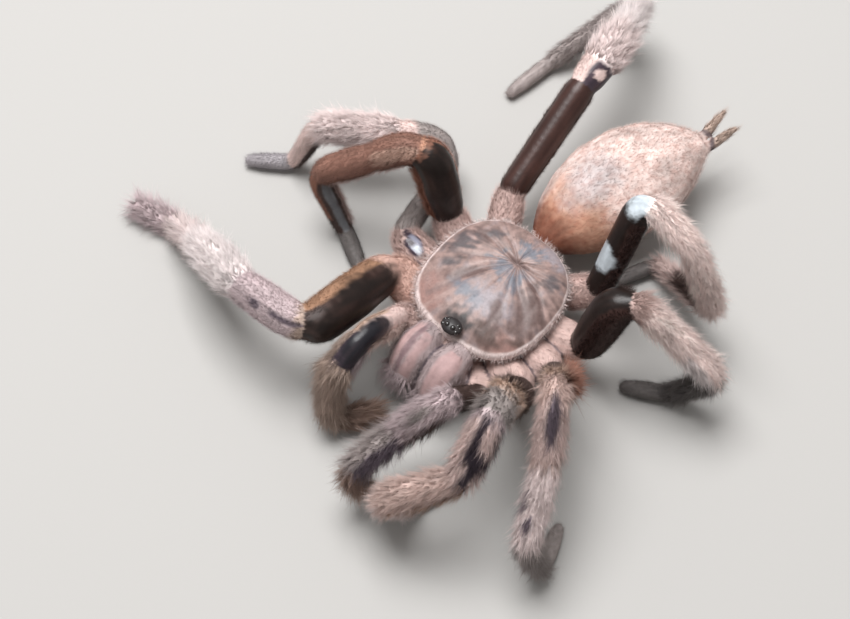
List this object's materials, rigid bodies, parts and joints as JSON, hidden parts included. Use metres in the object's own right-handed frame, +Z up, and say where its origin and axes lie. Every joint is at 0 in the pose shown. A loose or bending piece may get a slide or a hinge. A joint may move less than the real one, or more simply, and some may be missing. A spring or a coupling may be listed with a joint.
{
  "type": "tarantula model",
  "caption": "Life-size hairy tarantula standing with its legs drawn in, oval carapace, tapering abdomen and long spinnerets, a still model.",
  "frame": {"origin": "middle of the model's bounding box at floor level, under the feet", "axes": "+Z up from the floor, the abdomen's tip towards +Y and the head towards -Y, turned 5 degrees towards +X; the animal's right side is -X"},
  "size_m": [0.0802, 0.0836, 0.0264],
  "materials": {
    "body": "short velvety hair over skin, pinkish tan",
    "carapace": "shell plate under a flat pinkish tan felt, rubbed grey in patches",
    "femora": "near-bald dark brown-black skin, slightly glossy, with rusty hair at its edges",
    "legs": "long loose hair, mauve-grey to pinkish tan",
    "feet": "grey-brown velvet",
    "spinnerets": "short brown hair",
    "fangs": "polished black horn",
    "eyes": "glossy black"
  },
  "bodies": {
    "root": {"sternum": "body", "carapace": "carapace", "eye_mound": "eyes", "abdomen": "body", "chelicera_R": "body", "chelicera_L": "body", "fang_R": "fangs", "fang_L": "fangs", "spinneret_R": "spinnerets", "spinneret_L": "spinnerets", "leg_R1_coxa": "body", "leg_R1_femur": "femora", "leg_R1_patella": "legs", "leg_R1_tibia": "legs", "leg_R1_foot": "feet", "leg_R2_coxa": "body", "leg_R2_femur": "femora", "leg_R2_patella": "legs", "leg_R2_tibia": "legs", "leg_R2_foot": "feet", "leg_R3_coxa": "body", "leg_R3_femur": "femora", "leg_R3_patella": "legs", "leg_R3_tibia": "legs", "leg_R3_foot": "feet", "leg_R4_coxa": "body", "leg_R4_femur": "femora", "leg_R4_patella": "legs", "leg_R4_tibia": "legs", "leg_R4_foot": "feet", "leg_L1_coxa": "body", "leg_L1_femur": "femora", "leg_L1_patella": "legs", "leg_L1_tibia": "legs", "leg_L1_foot": "feet", "leg_L2_coxa": "body", "leg_L2_femur": "femora", "leg_L2_patella": "legs", "leg_L2_tibia": "legs", "leg_L2_foot": "feet", "leg_L3_coxa": "body", "leg_L3_femur": "femora", "leg_L3_patella": "legs", "leg_L3_tibia": "legs", "leg_L3_foot": "feet", "leg_L4_coxa": "body", "leg_L4_femur": "femora", "leg_L4_patella": "legs", "leg_L4_tibia": "legs", "leg_L4_foot": "feet", "palp_R_coxa": "body", "palp_R_femur": "legs", "palp_R_patella": "femora", "palp_R_tibia": "legs", "palp_R_tarsus": "feet", "palp_L_coxa": "body", "palp_L_femur": "legs", "palp_L_patella": "femora", "palp_L_tibia": "legs", "palp_L_tarsus": "feet"}
  },
  "joints": []
}
